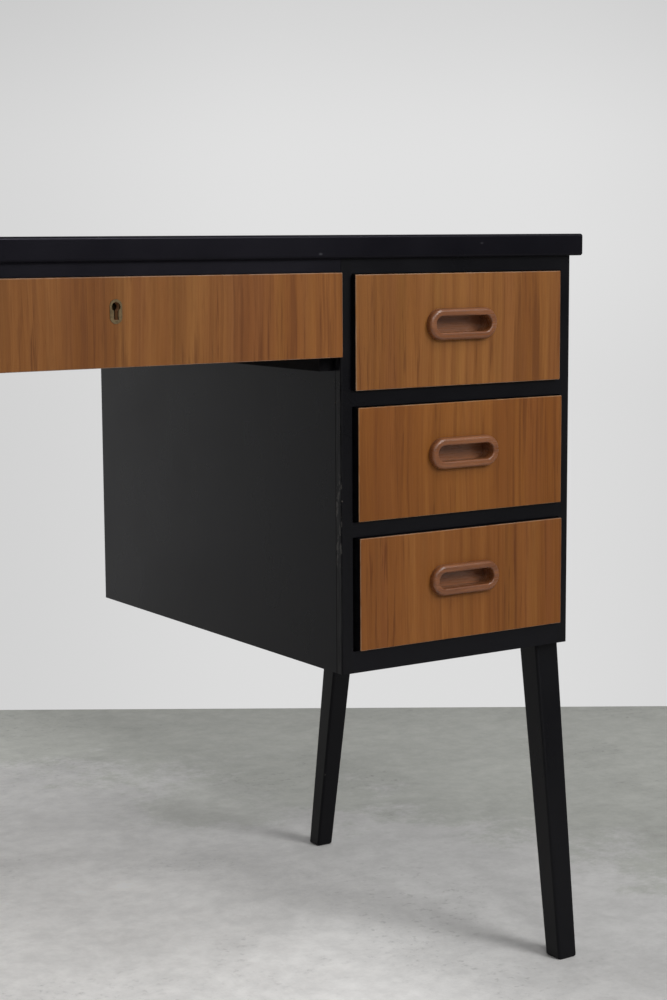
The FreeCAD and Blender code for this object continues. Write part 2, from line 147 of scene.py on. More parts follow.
# ---- screws ----
BACK_SCREW = 0.0035                     # radius of the heads that hold a pedestal's back
BACK_SCREW_ASIDE = 0.010                # from the back panel's edges
BACK_SCREW_IN = 0.030
LOCK_SCREW = 0.0024
LOCK_SCREW_ASIDE = 0.0045
LOCK_SCREW_BELOW = 0.0060
FIRST_TURN = 0.7                        # of the first screw's slot, in radians
NEXT_TURN = 1.9
HEAD_RISE = 0.28                        # height of a head's dome, as a share of its radius
HEAD_SLOT = 0.32                        # width of its slot, likewise
HEAD_RINGS = 18
HEAD_STEPS = 96


# ---------------------------------------------------------------- finishes

class Tree:
    """A node tree under construction: each call adds a node and gives back its output."""

    def __init__(self, tree):
        self.tree = tree

    def feed(self, socket, value):
        if isinstance(value, bpy.types.NodeSocket):
            self.tree.links.new(value, socket)
        else:
            socket.default_value = value

    def node(self, kind, sockets, **properties):
        node = self.tree.nodes.new("ShaderNode" + kind)
        for name, value in properties.items():
            setattr(node, name, value)
        for socket, value in sockets.items():
            self.feed(node.inputs[socket], value)
        return node

    def place(self, stretch=(1.0, 1.0, 1.0), shift=(0.0, 0.0, 0.0)):
        """The point on the piece, in metres, stretched along each axis and moved."""
        point = self.node("TexCoord", {}).outputs["Object"]
        return self.node("Mapping", {"Vector": point, "Scale": stretch,
                                     "Location": shift}).outputs["Vector"]

    def noise(self, vector, scale, detail=2.0, roughness=0.5, distortion=0.0):
        return self.node("TexNoise", {"Vector": vector, "Scale": scale, "Detail": detail,
                                      "Roughness": roughness,
                                      "Distortion": distortion}).outputs["Fac"]

    def cells(self, vector, scale, feature="F1"):
        return self.node("TexVoronoi", {"Vector": vector, "Scale": scale},
                         feature=feature).outputs["Distance"]

    def math(self, operation, *values):
        node = self.tree.nodes.new("ShaderNodeMath")
        node.operation = operation
        for socket, value in zip(node.inputs, values):
            self.feed(socket, value)
        return node.outputs["Value"]

    def span(self, value, low, high, to_low=0.0, to_high=1.0):
        """value between low and high, eased onto to_low..to_high and held beyond them."""
        return self.node("MapRange", {"Value": value, "From Min": low, "From Max": high,
                                      "To Min": to_low, "To Max": to_high},
                         interpolation_type="SMOOTHSTEP").outputs["Result"]

    def ramp(self, value, stops):
        node = self.node("ValToRGB", {"Fac": value})
        elements = node.color_ramp.elements
        while len(elements) < len(stops):
            elements.new(0.5)
        for element, (position, colour) in zip(elements, stops):
            element.position = position
            element.color = (*colour, 1.0)
        return node.outputs["Color"]

    def blend(self, amount, first, second, mode="MIX"):
        node = self.tree.nodes.new("ShaderNodeMix")
        node.data_type = "RGBA"
        node.blend_type = mode
        for index, value in ((0, amount), (6, first), (7, second)):
            self.feed(node.inputs[index], (*value, 1.0) if isinstance(value, tuple) else value)
        return node.outputs[2]

    def turn(self):
        """0 on faces square to an axis, rising towards 1 where an edge is rounded."""
        normal = self.node("TexCoord", {}).outputs["Normal"]
        sizes = [self.math("ABSOLUTE", part) for part in self.axes(normal)]
        largest = self.math("MAXIMUM", self.math("MAXIMUM", sizes[0], sizes[1]), sizes[2])
        return self.span(largest, 0.985, 0.86)

    def axes(self, vector):
        return self.node("SeparateXYZ", {"Vector": vector}).outputs

    def all_of(self, *tests):
        result = tests[0]
        for test in tests[1:]:
            result = self.math("MULTIPLY", result, test)
        return result

    def bump(self, height, distance, strength=1.0):
        return self.node("Bump", {"Height": height, "Distance": distance,
                                  "Strength": strength}).outputs["Normal"]


class Finish(Tree):
    """A material's node tree, with its shader's sockets set by name."""

    def __init__(self, name, **settings):
        self.material = bpy.data.materials.new(name)
        self.material.use_nodes = True
        super().__init__(self.material.node_tree)
        self.shader = self.tree.nodes["Principled BSDF"]
        for socket, value in settings.items():
            self.set(socket.replace("_", " "), value)

    def set(self, socket, value):
        self.feed(self.shader.inputs[socket], value)

    def clear_from_behind(self, shader):
        """The shader's look from the front, and nothing at all seen from behind."""
        clear = self.node("BsdfTransparent", {})
        behind = self.node("NewGeometry", {}).outputs["Backfacing"]
        mix = self.node("MixShader", {0: behind, 1: shader.outputs[0], 2: clear.outputs[0]})
        self.feed(self.tree.nodes["Material Output"].inputs["Surface"], mix.outputs[0])


def clouding(paint, point):
    """The slow, uneven pattern that the lacquer's colour and its gloss both follow."""
    return paint.noise(point, 7.0, 4.0, 0.6)


def paint_colour(paint, chips):
    """Near-black with faint clouding, rare dust, and bare wood where an edge is chipped."""
    point = paint.place()
    cloud = clouding(paint, point)
    fleck = paint.span(paint.cells(point, 60.0), 0.030, 0.012)
    rare = paint.span(paint.noise(point, 9.0, 0.0), 0.60, 0.66)
    worn = paint.span(paint.noise(point, 85.0, 4.0, 0.7), 0.68 - chips, 0.74 - chips)
    black = paint.blend(cloud, BLACK_DEEP, BLACK_LIGHT)
    dusty = paint.blend(paint.math("MULTIPLY", fleck, rare), black, DUST)
    return paint.blend(paint.math("MULTIPLY", paint.turn(), worn), dusty, CHIPPED)


def paint_gloss(paint):
    """Satin roughness and the height of the brushed, slightly rippled surface."""
    point = paint.place()
    cloud = clouding(paint, point)
    ripple = paint.noise(point, 650.0, 2.0, 0.5)
    brushed = paint.noise(paint.place((1.0, 1.0, 0.05)), 240.0, 3.0, 0.55)
    satin = paint.span(cloud, 0.3, 0.7, 0.26, 0.36)
    return (paint.math("ADD", satin, paint.math("MULTIPLY", paint.turn(), 0.40)),
            paint.math("ADD", ripple, paint.math("MULTIPLY", brushed, 0.6)))


def wood_colour(wood, stretch, light, dark, flecks=0.4):
    """A pale close-grained wood whose grain runs along the axis that stretch shortens."""
    point = wood.place(stretch)
    broad = wood.noise(point, 45.0, 3.0, 0.6, 0.3)
    fine = wood.noise(point, 480.0, 3.0, 0.6)
    tone = wood.math("ADD", wood.math("MULTIPLY", broad, 0.6), wood.math("MULTIPLY", fine, 0.4))
    colour = wood.blend(wood.span(tone, 0.35, 0.65), dark, light)
    specks = wood.span(wood.noise(point, 900.0, 0.0), 0.66, 0.74, 0.0, flecks)
    return wood.blend(specks, colour, tuple(0.55 * part for part in dark)), fine


def scuffs(paint, front):
    """1 on the few small marks along a front face that stands at y = front."""
    mark = paint.span(paint.cells(paint.place((0.55, 1.0, 1.0)), 50.0), 0.080, 0.030)
    rare = paint.span(paint.noise(paint.place(), 9.0, 0.0), 0.42, 0.50)
    ahead = paint.math("LESS_THAN", paint.axes(paint.place())[1], front + FACE_SLACK)
    return paint.all_of(mark, rare, ahead)


def black_paint(name, chips=0.0, gloss=PAINT_GLOSS, sheen=PLAIN_SHEEN, front=None):
    """Satin black lacquer all over, with scuffs where a front face is given."""
    paint = Finish(name, Specular_IOR_Level=gloss, Specular_Tint=(*sheen, 1.0))
    roughness, height = paint_gloss(paint)
    colour = paint_colour(paint, chips)
    if front is not None:
        colour = paint.blend(scuffs(paint, front), colour, SCUFFED)
    paint.set("Base Color", colour)
    paint.set("Roughness", roughness)
    paint.set("Normal", paint.bump(height, PAINT_RELIEF, PAINT_BUMP))
    return paint.material


def waxed_black(name):
    """Dull black with a lengthwise grain, where drawers have slid."""
    strip = Finish(name, Specular_IOR_Level=0.06, Roughness=0.75)
    grain = strip.noise(strip.place((1.0, 0.05, 1.0)), 500.0, 3.0, 0.6)
    strip.set("Base Color", strip.blend(grain, WAXED_DEEP, WAXED_LIGHT))
    strip.set("Normal", strip.bump(grain, PAINT_RELIEF, PAINT_BUMP))
    return strip.material


def worn_lippings():
    """Black lacquer on the pedestals' front strips.

    Their side faces have pale streaks, partly rubbed wear and partly a painted highlight,
    flakes at the height where a hand reaches, and a dark seam at the back.
    """
    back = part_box("side_lippings")[1].y
    paint = Finish("black_satin_lippings", Specular_IOR_Level=PAINT_GLOSS)
    point = paint.place()
    _, y, z = paint.axes(point)
    outward = paint.axes(paint.node("TexCoord", {}).outputs["Normal"])[0]
    side = paint.math("GREATER_THAN", paint.math("ABSOLUTE", outward), 0.7)
    streaks = paint.span(paint.noise(paint.place((1.0, 1.0, 0.10)), 420.0, 2.0), 0.42, 0.60)
    flakes = paint.span(paint.noise(paint.place((1.0, 1.0, 0.35)), 240.0, 3.0, 0.7), 0.52, 0.60)
    handled = paint.all_of(paint.span(z, 0.41, 0.43), paint.span(z, 0.51, 0.49))
    roughness, height = paint_gloss(paint)
    # Pale streaks on the side faces: partly rubbed wear, partly a painted highlight.
    colour = paint.blend(paint.all_of(side, paint.math("MULTIPLY", streaks, 0.6)),
                         paint_colour(paint, 0.04), STREAKED_AND_HIGHLIGHT)
    colour = paint.blend(paint.all_of(side, flakes, handled), colour, FLAKED)
    seam = paint.all_of(side, paint.math("GREATER_THAN", y, back - SEAM_WIDTH))
    paint.set("Base Color", paint.blend(seam, colour, SEAM))
    paint.set("Roughness", paint.math("MAXIMUM", roughness, paint.math("MULTIPLY", seam, 0.9)))
    paint.set("Normal", paint.bump(height, PAINT_RELIEF, PAINT_BUMP))
    return paint.material


def painted_board(name, stretch):
    """Black lacquer outside, and bare wood inside the pedestals behind a ragged paint edge."""
    board = Finish(name, Specular_IOR_Level=BOARD_GLOSS, Specular_Tint=(*BOARD_SHEEN, 1.0))
    x, y, z = board.axes(board.place())
    side = board.math("ABSOLUTE", x)
    ragged = board.span(board.noise(board.place(), 40.0, 3.0, 0.6), 0.2, 0.8,
                        PAINT_REACH - PAINT_RAGGED, PAINT_REACH + PAINT_RAGGED)
    inside = board.all_of(
        board.math("GREATER_THAN", side, INSIDE_LOW.x - SLACK),
        board.math("LESS_THAN", side, INSIDE_HIGH.x + SLACK),
        board.math("GREATER_THAN", y, board.math("ADD", ragged, INSIDE_LOW.y)),
        board.math("LESS_THAN", y, INSIDE_HIGH.y + SLACK),
        board.math("GREATER_THAN", z, INSIDE_LOW.z - SLACK),
        board.math("LESS_THAN", z, INSIDE_HIGH.z + SLACK))
    roughness, height = paint_gloss(board)
    bare = wood_colour(board, stretch, BEECH_LIGHT, BEECH_DARK)[0]
    board.set("Base Color", board.blend(inside, paint_colour(board, 0.0), bare))
    board.set("Roughness", board.math("MAXIMUM", roughness,
                                      board.math("MULTIPLY", inside, 0.6)))
    board.set("Normal", board.bump(height, PAINT_RELIEF, PAINT_BUMP))
    return board.material


def veneer_colour(teak, middle, shift):
    """Straight upright teak: soft reddish lines that run the height, a lighter middle.

    Gives back the colour, the finest lines and the pores.
    """
    sway = teak.noise(teak.place((2.0, 0.0, 5.0), shift), 1.0, 2.0)
    upright = teak.place((1.0, 0.0, 0.020), shift)
    aside = teak.node("CombineXYZ", {"X": teak.span(sway, 0.2, 0.8, -0.0025, 0.0025)})
    swayed = teak.node("VectorMath", {0: upright, 1: aside.outputs["Vector"]}).outputs["Vector"]
    broad = teak.noise(swayed, 30.0, 1.0, 0.5)
    band = teak.noise(swayed, 110.0, 3.0, 0.60)
    hair = teak.noise(swayed, 900.0, 2.0, 0.6)
    across = teak.axes(teak.place((1.0, 1.0, 1.0), (-middle, 0.0, 0.0)))[0]
    heart = teak.span(teak.math("ABSOLUTE", across), 0.015, 0.080, 0.09, 0.0)
    tone = teak.math("ADD", teak.math("MULTIPLY", broad, 0.36),
                     teak.math("ADD", teak.math("MULTIPLY", band, 0.40),
                               teak.math("MULTIPLY", hair, 0.24)))
    tone = teak.math("ADD", tone, heart)
    colour = teak.ramp(tone, [(0.36, (0.134, 0.040, 0.0066)), (0.46, (0.175, 0.058, 0.0094)),
                              (0.55, (0.204, 0.071, 0.0132)), (0.66, (0.245, 0.094, 0.0202))])
    rose = teak.span(teak.noise(swayed, 46.0, 1.0), 0.46, 0.70, 0.0, 0.45)
    colour = teak.blend(rose, colour, (0.168, 0.053, 0.0135))
    elsewhere = teak.place((1.0, 0.0, 0.03), (shift[0] + 3.7, 0.0, 0.0))
    olive = teak.span(teak.noise(elsewhere, 60.0, 1.0), 0.50, 0.74, 0.0, 0.30)
    colour = teak.blend(olive, colour, (0.170, 0.069, 0.0104))
    outside = teak.span(across, 0.020, 0.090, 0.45, 1.0)
    broken = teak.span(teak.noise(teak.place((60.0, 0.0, 9.0), shift), 1.0, 2.0),
                       0.30, 0.62, 0.35, 1.0)
    fine = teak.span(teak.noise(swayed, 210.0, 2.0, 0.5), 0.49, 0.37, 0.0, 0.70)
    colour = teak.blend(teak.all_of(fine, broken, outside), colour, (0.104, 0.030, 0.0052))
    wide = teak.span(teak.noise(swayed, 120.0, 1.0, 0.5), 0.44, 0.30, 0.0, 0.55)
    colour = teak.blend(teak.all_of(wide, outside), colour, (0.112, 0.033, 0.0056))
    elsewhere = teak.place((1.0, 0.0, 0.045), (shift[0] + 1.9, 0.0, 0.0))
    short = teak.span(teak.noise(elsewhere, 230.0, 3.0, 0.6), 0.48, 0.32, 0.0, 0.80)
    cluster = teak.span(teak.noise(teak.place((16.0, 0.0, 6.0), shift), 1.0, 2.0),
                        0.42, 0.62, 0.20, 1.0)
    colour = teak.blend(teak.all_of(short, cluster), colour, (0.102, 0.029, 0.0046))
    pores = teak.span(teak.noise(teak.place((1.0, 0.0, 0.03), shift), 2400.0, 1.0), 0.62, 0.74)
    colour = teak.blend(teak.math("MULTIPLY", pores, 0.30), colour, TEAK_PORE)
    return colour, hair, pores


def keyhole_cut(teak):
    """1 behind the escutcheon, where the front board is cut through."""
    low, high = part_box("escutcheon")
    x, _, z = teak.axes(teak.place())
    return teak.all_of(teak.math("GREATER_THAN", x, low.x), teak.math("LESS_THAN", x, high.x),
                       teak.math("GREATER_THAN", z, low.z), teak.math("LESS_THAN", z, high.z))


def teak_front(name, middle, shift, leaf, right_painted_light=1.0):
    """A veneered front: pale rubbed edges, black sides, and bare wood behind.

    Painted light makes the veneer lighter towards its top, and towards the front's right end
    by the factor right_painted_light. leaf is the tint of its leaf.
    """
    teak = Finish(name, Specular_IOR_Level=0.20)
    colour, hair, pores = veneer_colour(teak, middle, shift)
    point = teak.place()
    rubbed = teak.span(teak.noise(point, 60.0, 3.0, 0.6), 0.30, 0.60, 0.15, 0.70)
    colour = teak.blend(teak.math("MULTIPLY", teak.turn(), rubbed), colour, TEAK_RUBBED)
    behind = teak.math("GREATER_THAN", teak.axes(point)[1], FACE_Y + VENEER_THICKNESS)
    rearward = teak.axes(teak.node("TexCoord", {}).outputs["Normal"])[1]
    inner = teak.math("GREATER_THAN", rearward, 0.5)
    # Painted light: lighter towards the top and towards the right end; light is their product,
    # and tint adds the leaf.
    painted_light_upwards = teak.span(teak.axes(point)[2], 0.42, 0.62, 0.91, 1.02)
    painted_light_along_x = teak.span(teak.axes(point)[0], middle + 0.02, middle + 0.13, 1.0, right_painted_light)
    light = teak.math("MULTIPLY", painted_light_upwards, painted_light_along_x)
    tint = teak.node("CombineXYZ", {axis: teak.math("MULTIPLY", light, part)
                                    for axis, part in zip("XYZ", leaf)}).outputs["Vector"]
    colour = teak.blend(1.0, colour, tint, "MULTIPLY")
    # Behind the veneer: black, but bare wood lightened with painted light in the keyhole's
    # walls.
    core = teak.blend(keyhole_cut(teak), paint_colour(teak, 0.0), KEYHOLE_WOOD_AND_PAINTED_LIGHT)
    colour = teak.blend(behind, colour, core)
    bare = wood_colour(teak, GRAIN_ALONG_X, BEECH_LIGHT, BEECH_DARK)[0]
    teak.set("Base Color", teak.blend(inner, colour, bare))
    teak.set("Roughness", teak.span(hair, 0.3, 0.7, 0.52, 0.42))
    relief = teak.math("SUBTRACT", teak.math("MULTIPLY", hair, 0.5), pores)
    teak.set("Normal", teak.bump(relief, WOOD_RELIEF, WOOD_BUMP))
    return teak.material


def solid_teak():
    """Oiled solid teak, its grain level, redder than the veneer; painted light makes the hollow
    paler.
    """
    teak = Finish("solid_teak_oiled", Specular_IOR_Level=0.50)
    point = teak.place((0.05, 1.0, 1.0))
    broad = teak.noise(point, 130.0, 2.0)
    streak = teak.noise(point, 620.0, 3.0, 0.6)
    tone = teak.math("ADD", teak.math("MULTIPLY", broad, 0.5),
                     teak.math("MULTIPLY", streak, 0.5))
    colour = teak.ramp(tone, [(0.32, (0.098, 0.032, 0.0110)), (0.50, (0.168, 0.059, 0.0210)),
                              (0.68, (0.234, 0.090, 0.0350))])
    # Painted light: the pull is lightened deeper into its hollow.
    hollow = teak.span(teak.axes(teak.place())[1], FACE_Y + 0.002, FACE_Y + 0.006, 0.0, 0.75)
    colour = teak.blend(hollow, colour, teak.blend(0.65, colour, PULL_HOLLOW_PAINTED_LIGHT))
    pores = teak.span(teak.noise(point, 2200.0, 1.0), 0.60, 0.74)
    teak.set("Base Color", teak.blend(teak.math("MULTIPLY", pores, 0.45), colour, PULL_PORE))
    teak.set("Roughness", teak.span(streak, 0.3, 0.7, 0.33, 0.24))
    teak.set("Normal", teak.bump(teak.math("SUBTRACT", streak, pores), PULL_RELIEF, WOOD_BUMP))
    return teak.material


def bare_wood(name, stretch, light, dark, flecks):
    """A wood left as it is, with its own colours and as many darker flecks as asked."""
    wood = Finish(name, Specular_IOR_Level=0.35)
    colour, grain = wood_colour(wood, stretch, light, dark, flecks)
    wood.set("Base Color", colour)
    wood.set("Roughness", wood.span(grain, 0.3, 0.7, 0.62, 0.52))
    wood.set("Normal", wood.bump(grain, WOOD_RELIEF, WOOD_BUMP))
    return wood.material


def drawer_side_wood():
    """Beech, but black on the dovetails where they show in the ends of a front."""
    wood = Finish("beech_sides", Specular_IOR_Level=0.30)
    colour, grain = wood_colour(wood, GRAIN_ALONG_Y, BEECH_LIGHT, BEECH_DARK)
    in_front = wood.math("LESS_THAN", wood.axes(wood.place())[1], FRONT_BACK_Y)
    wood.set("Base Color", wood.blend(in_front, colour, paint_colour(wood, 0.0)))
    wood.set("Roughness", wood.span(grain, 0.3, 0.7, 0.60, 0.50))
    wood.set("Normal", wood.bump(grain, WOOD_RELIEF, WOOD_BUMP))
    return wood.material


def aged_metal(name, colour, tarnish, roughness):
    """Metal that has dulled unevenly."""
    metal = Finish(name, Metallic=1.0)
    point = metal.place()
    cloud = metal.noise(point, 260.0, 4.0, 0.65)
    scratch = metal.noise(metal.place((1.0, 1.0, 0.08)), 2600.0, 2.0)
    metal.set("Base Color", metal.blend(metal.span(cloud, 0.35, 0.70), colour, tarnish))
    metal.set("Roughness", metal.span(cloud, 0.3, 0.7, roughness, roughness + 0.16))
    metal.set("Normal", metal.bump(scratch, METAL_RELIEF, 0.5))
    return metal.material


# ---------------------------------------------------------------- studio

def plane(name, corners, material):
    mesh = bpy.data.meshes.new(name)
    mesh.from_pydata(corners, [], [(0, 1, 2, 3)])
    mesh.materials.append(material)
    piece = bpy.data.objects.new(name, mesh)
    bpy.context.scene.collection.objects.link(piece)
    return piece


def floor_finish(wall_foot, ahead):
    """Mottled concrete, pitted in places, with painted light and shade round the desk and at
    the wall.

    It is stained greener at the far right and round STAIN_SPOT. to_wall is the distance to
    the wall, level and along the camera's heading.
    """
    floor = Finish("studio_floor", Specular_IOR_Level=0.20, Roughness=0.75)
    point = floor.place()
    x, y, _ = floor.axes(point)
    cloud = floor.noise(point, 2.6, 4.0, 0.6, 0.4)
    mottle = floor.noise(point, 34.0, 6.0, 0.78)
    ragged = floor.noise(point, 4.0, 8.0, 0.80)
    across = floor.math("ADD", floor.math("ADD", x, floor.math("MULTIPLY", y, 0.5)),
                        floor.math("MULTIPLY", ragged, 1.1))
    away = floor.node("VectorMath", {0: point, 1: STAIN_SPOT}, operation="DISTANCE")
    spot = floor.span(floor.math("ADD", away.outputs["Value"],
                                 floor.math("MULTIPLY", ragged, 0.35)),
                      0.25, 0.30, 0.75, 0.0)
    stained = floor.math("MAXIMUM", floor.span(across, 1.21, 1.37), spot)
    blotch = floor.noise(point, 8.0, 6.0, 0.78, 0.6)
    depth = floor.node("VectorMath", {0: point, 1: tuple(ahead)}, operation="DOT_PRODUCT")
    to_wall = floor.math("SUBTRACT", wall_foot.dot(ahead), depth.outputs["Value"])
    # Painted shadow: band marks 0.46 to 0.84 m from the wall, behind the desk, and is darkened
    # below.
    band = floor.all_of(floor.span(to_wall, 0.46, 0.58), floor.span(to_wall, 0.84, 0.70))
    pitted = floor.span(floor.noise(point, 3.4, 3.0, 0.6), 0.48, 0.64)
    pits = floor.span(floor.noise(point, 95.0, 3.0, 0.65), 0.55, 0.72)
    specks = floor.math("SUBTRACT", 1.0,
                        floor.math("MULTIPLY", floor.math("MULTIPLY", pits, pitted), 0.24))
    # Painted light and shade: 0.8 nearer the camera; under and behind the desk, lighter left of
    # x = 0.2 and darker to the right, behind the right pedestal.
    under = floor.span(y, -0.95, -0.40)
    nearer = floor.math("SUBTRACT", 1.0, under)
    painted_light_along_x = floor.span(x, 0.20, 0.56, 1.12, 0.60)
    painted_light_and_shade = floor.math("ADD", floor.math("MULTIPLY", nearer, 0.80),
                          floor.math("MULTIPLY", under, painted_light_along_x))
    shade = floor.all_of(floor.span(cloud, 0.38, 0.60, 0.95, 1.0),
                         floor.span(blotch, 0.38, 0.60, 0.95, 1.03),
                         floor.span(mottle, 0.30, 0.70, 0.90, 1.05),
                         painted_light_and_shade,
                         # Darker towards -X and towards the near edge.
                         floor.span(x, -1.20, -0.15, 0.72, 1.0),
                         floor.span(y, -1.20, -0.50, 0.74, 1.0),
                         floor.span(pitted, 0.0, 1.0, 1.0, 0.94),
                         # Painted shade along the foot of the wall, then the painted shadow
                         # band behind the desk.
                         floor.span(to_wall, 0.05, 0.30, 0.96, 1.0),
                         floor.span(band, 0.0, 1.0, 1.0, 0.92),
                         floor.span(to_wall, 0.98, 1.12, 1.0, 0.95), specks)
    tint = floor.node("CombineXYZ", {"X": shade, "Y": shade, "Z": shade}).outputs["Vector"]
    stain = floor.blend(stained, (1.0, 1.0, 1.0), FLOOR_STAIN)
    colour = floor.blend(1.0, FLOOR_GREY, stain, "MULTIPLY")
    floor.set("Base Color", floor.blend(1.0, colour, tint, "MULTIPLY"))
    floor.set("Normal", floor.bump(floor.noise(point, 300.0), 0.0002, 0.4))
    floor.clear_from_behind(floor.shader)
    return floor.material


def wall_finish(middle, aside):
    """Plain light towards the desk, falling off softly."""
    wall = Finish("studio_wall")
    point = wall.place()
    along = wall.node("VectorMath", {0: point, 1: tuple(aside)}, operation="DOT_PRODUCT")
    offset = wall.math("ABSOLUTE", wall.math("SUBTRACT", along.outputs["Value"],
                                             middle.dot(aside) + 0.1))
    height = wall.axes(point)[2]
    fall = wall.all_of(wall.span(offset, 0.15, 0.70, 1.0, 0.89),
                       wall.span(offset, 1.7, 3.0, 1.10, 0.56),
                       wall.span(height, 0.82, 1.15, 1.0, 0.86),
                       wall.span(height, 0.45, 0.72, 0.955, 1.0))
    grey = wall.node("Emission", {"Color": (WALL_GREY, WALL_GREY, WALL_GREY, 1.0),
                                  "Strength": fall})
    wall.clear_from_behind(grey)
    return wall.material


def make_studio():
    """The floor, and a wall square to the camera's heading, which casts no shadow.

    The wall shows to the eye and in reflections, but lights nothing.
    """
    half = STUDIO_SIZE / 2.0
    ahead = Vector((math.sin(CAMERA_TURN), math.cos(CAMERA_TURN), 0.0))
    aside = Vector((ahead.y, -ahead.x, 0.0))
    foot = Vector((CAMERA_PLACE.x, CAMERA_PLACE.y, 0.0)) + ahead * WALL_DISTANCE
    up = Vector((0.0, 0.0, WALL_HEIGHT))
    plane("studio_floor", [(-half, -half, 0.0), (half, -half, 0.0), (half, half, 0.0),
                           (-half, half, 0.0)], floor_finish(foot, ahead))
    wall = plane("studio_wall", [foot - aside * half, foot + aside * half,
                                 foot + aside * half + up, foot - aside * half + up],
                 wall_finish(foot, aside))
    wall.visible_diffuse = False
    wall.visible_shadow = False
    wall.visible_transmission = False


def make_world():
    """A soft sky, dimmer before the desk than behind it, and as grey as the wall to the eye."""
    world = bpy.data.worlds.new("studio")
    world.use_nodes = True
    sky = Tree(world.node_tree)
    light = world.node_tree.nodes["Background"]
    _, y, z = sky.axes(sky.node("TexCoord", {}).outputs["Generated"])
    level = sky.span(y, -0.8, 0.8, SKY_AHEAD, SKY_BEHIND)
    above = sky.span(z, 0.15, 0.80)
    level = sky.math("ADD", sky.math("MULTIPLY", level, sky.math("SUBTRACT", 1.0, above)),
                     sky.math("MULTIPLY", above, SKY_ABOVE))
    path = sky.node("LightPath", {}).outputs
    seen = sky.math("MAXIMUM", path["Is Camera Ray"], path["Is Transmission Ray"])
    strength = sky.math("ADD", sky.math("MULTIPLY", level, sky.math("SUBTRACT", 1.0, seen)),
                        sky.math("MULTIPLY", seen, WALL_GREY))
    light.inputs["Color"].default_value = (1.0, 1.0, 1.0, 1.0)
    sky.feed(light.inputs["Strength"], strength)
    bpy.context.scene.world = world


def softbox(name, place, size, power):
    """A round lamp that faces LAMP_TARGET."""
    lamp = bpy.data.lights.new(name, "AREA")
    lamp.shape = "DISK"
    lamp.size = size
    lamp.energy = power
    light = bpy.data.objects.new(name, lamp)
    light.location = place
    light.rotation_euler = (LAMP_TARGET - place).to_track_quat("-Z", "Y").to_euler()
    bpy.context.scene.collection.objects.link(light)


def make_camera():
    """The camera at its place, level but for its dip and a slight roll."""
    lens = bpy.data.cameras.new("camera")
    lens.lens = LENS
    lens.clip_end = 60.0
    camera = bpy.data.objects.new("camera", lens)
    aim = (Matrix.Rotation(-CAMERA_TURN, 4, "Z")
           @ Matrix.Rotation(math.pi / 2.0 - CAMERA_DIP, 4, "X")
           @ Matrix.Rotation(CAMERA_ROLL, 4, "Z"))
    camera.matrix_world = Matrix.Translation(CAMERA_PLACE) @ aim
    bpy.context.scene.collection.objects.link(camera)
    bpy.context.scene.camera = camera
    bpy.context.scene.view_settings.view_transform = "Standard"


# ---------------------------------------------------------------- dressing the frame

def middle_of(node):
    low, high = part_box(node)
    return (low + high) / 2.0


def dress(names, material):
    for name in names:
        nodes[name].material_slots[0].material = material


def dress_carcass():
    """Boards that line the pedestals are bare inside; the rest is black all over."""
    upright = painted_board("painted_board_upright", GRAIN_ALONG_Z)
    level = painted_board("painted_board_level", GRAIN_ALONG_X)
    for end in ENDS:
        dress([end + "_inner_side", end + "_outer_side", end + "_pedestal_back"], upright)
        dress([end + "_pedestal_bottom", end + "_rails"], level)
    dress(["kneehole_rail"], black_paint("black_satin_rail", gloss=RAIL_GLOSS, sheen=COOL_SHEEN,
                                         front=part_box("kneehole_rail")[0].y))
    dress(["kneehole_back_rail"], black_paint("black_satin_back_rail"))
    dress(["centre_runners"], waxed_black("waxed_black_runners"))
    dress(["%s_%s_leg" % (place, end) for place in ("front", "rear") for end in ENDS],
          black_paint("black_satin_legs", chips=0.02))
    dress(["side_lippings"], worn_lippings())
    dress(["desktop"], black_paint("black_satin_desktop", sheen=COOL_SHEEN,
                                   front=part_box("desktop")[0].y))


def dress_drawers():
    """Veneer of its own for each front, solid teak pulls, beech boxes, plywood bottoms."""
    for end in ENDS:
        for index, row in enumerate(ROWS):
            name = "%s_%s" % (end, row)
            shift = LOG_START[end] + LOG_STEP * index
            dress([name + "_front"], teak_front(name + "_veneer", middle_of(name + "_front").x,
                                                (shift, 0.0, 0.0), LEAVES[row]))
    dress(["centre_front"], teak_front("centre_veneer", CENTRE_HEART,
                                       (LOG_START["centre"], 0.0, 0.0), LEAVES["centre"],
                                       CENTRE_RIGHT_PAINTED_LIGHT))
    dress([name + "_pull" for name in PEDESTAL_DRAWERS], solid_teak())
    boxes = PEDESTAL_DRAWERS + ["centre"]
    dress([name + "_sides" for name in boxes], drawer_side_wood())
    dress([name + "_back" for name in boxes],
          bare_wood("beech_crosswise", GRAIN_ALONG_X, BEECH_LIGHT, BEECH_DARK, 0.5))
    dress([name + "_bottom" for name in boxes],
          bare_wood("birch_plywood", (0.12, 1.0, 1.0), PLYWOOD_LIGHT, PLYWOOD_DARK, 0.2))
    dress(["pedestal_runners", "drawer_stops"],
          bare_wood("beech_strips", GRAIN_ALONG_Y, BEECH_LIGHT, BEECH_DARK, 0.5))


def dress_metal():
    """Brass round the keyhole and the bolt's slot, steel under the legs, iron in the lock."""
    dress(["escutcheon", "lock_keeper"], aged_metal("aged_brass", *BRASS))
    dress(["leg_studs"], aged_metal("dull_steel", *STUD_STEEL))
    dress(["lock_case", "lock_bolt"], aged_metal("browned_iron", *BROWNED_IRON))


# ---------------------------------------------------------------- screws

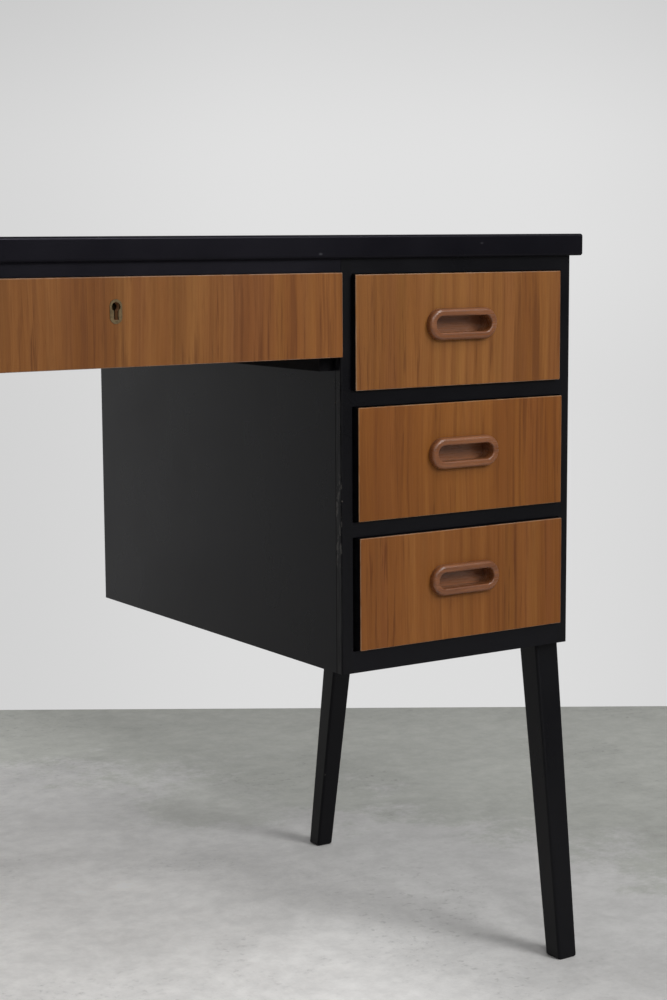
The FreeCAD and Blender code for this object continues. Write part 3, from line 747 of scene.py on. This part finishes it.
def screw_head(radius, rise, slot, turn):
    """One slotted head that faces +Y, as rings from its middle out and round to its back.

    The grid's two parameters are the distance from the axis and the angle about it. The
    height is rise * (1 - (distance / radius) squared), lowered by a soft-edged groove
    where the point's distance from the turned slot line is under half of slot.
    """
    reach = np.linspace(0.0, 1.0, HEAD_RINGS + 1)[1:, None] * radius
    angle = np.linspace(0.0, 2.0 * np.pi, HEAD_STEPS, endpoint=False)[None, :]
    x = reach * np.cos(angle)
    z = reach * np.sin(angle)
    off_slot = np.abs(x * np.sin(turn) - z * np.cos(turn))
    groove = np.clip((0.62 * slot - off_slot) / (0.20 * slot), 0.0, 1.0)
    y = rise * (1.0 - (reach / radius) ** 2) - 0.8 * rise * groove
    rings = np.stack([x, np.broadcast_to(y, x.shape), z], axis=-1)
    rim = rings[-1] * (1.0, 0.0, 1.0) - (0.0, rise, 0.0)
    rings = np.concatenate([rings, rim[None]])
    ends = np.array([[0.0, 0.2 * rise, 0.0], [0.0, -rise, 0.0]])
    return np.concatenate([rings.reshape(-1, 3), ends]), rings.shape[0], rings.shape[1]


def screws(name, places, radius, material, body):
    """Heads let into the face behind them, all in one piece that moves with body."""
    rise = HEAD_RISE * radius
    points = []
    faces = []
    for index, place in enumerate(places):
        head, rows, steps = screw_head(radius, rise, HEAD_SLOT * radius,
                                      FIRST_TURN + NEXT_TURN * index)
        first = len(points) * len(head)
        ring = np.arange(rows * steps).reshape(rows, steps) + first
        after = np.roll(ring, -1, axis=1)
        walls = np.stack([ring[:-1], after[:-1], after[1:], ring[1:]], axis=-1)
        middle, back = first + rows * steps, first + rows * steps + 1
        faces += walls.reshape(-1, 4).tolist()
        faces += [(middle, int(b), int(a)) for a, b in zip(ring[0], after[0])]
        faces += [(back, int(a), int(b)) for a, b in zip(ring[-1], after[-1])]
        points.append(head + np.array(place))
    mesh = bpy.data.meshes.new(name)
    mesh.from_pydata(np.concatenate(points).tolist(), [], faces)
    mesh.materials.append(material)
    mesh.polygons.foreach_set("use_smooth", np.ones(len(mesh.polygons), dtype=bool))
    piece = bpy.data.objects.new(name, mesh)
    bpy.context.scene.collection.objects.link(piece)
    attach(piece, body)


def add_screws():
    """Six hold each pedestal's back panel, and four the lock."""
    steel = aged_metal("dull_screw_steel", *SCREW_STEEL)
    for end in ENDS:
        low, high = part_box(end + "_pedestal_back")
        places = [(x, high.y, z)
                  for x in (low.x + BACK_SCREW_ASIDE, high.x - BACK_SCREW_ASIDE)
                  for z in (low.z + BACK_SCREW_IN, (low.z + high.z) / 2.0,
                            high.z - BACK_SCREW_IN)]
        screws(end + "_back_screws", places, BACK_SCREW, steel, "carcass")
    low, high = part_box("lock_case")
    places = [(x, high.y, z) for x in (low.x + LOCK_SCREW_ASIDE, high.x - LOCK_SCREW_ASIDE)
              for z in (low.z + LOCK_SCREW_ASIDE, high.z - LOCK_SCREW_BELOW)]
    screws("lock_screws", places, LOCK_SCREW, steel, "centre_drawer")


make_camera()
make_studio()
make_world()
softbox("key_light", KEY_PLACE, KEY_SIZE, KEY_POWER)
softbox("fill_light", FILL_PLACE, FILL_SIZE, FILL_POWER)
softbox("top_light", TOP_PLACE, TOP_SIZE, TOP_POWER)
dress_carcass()
dress_drawers()
dress_metal()
add_screws()
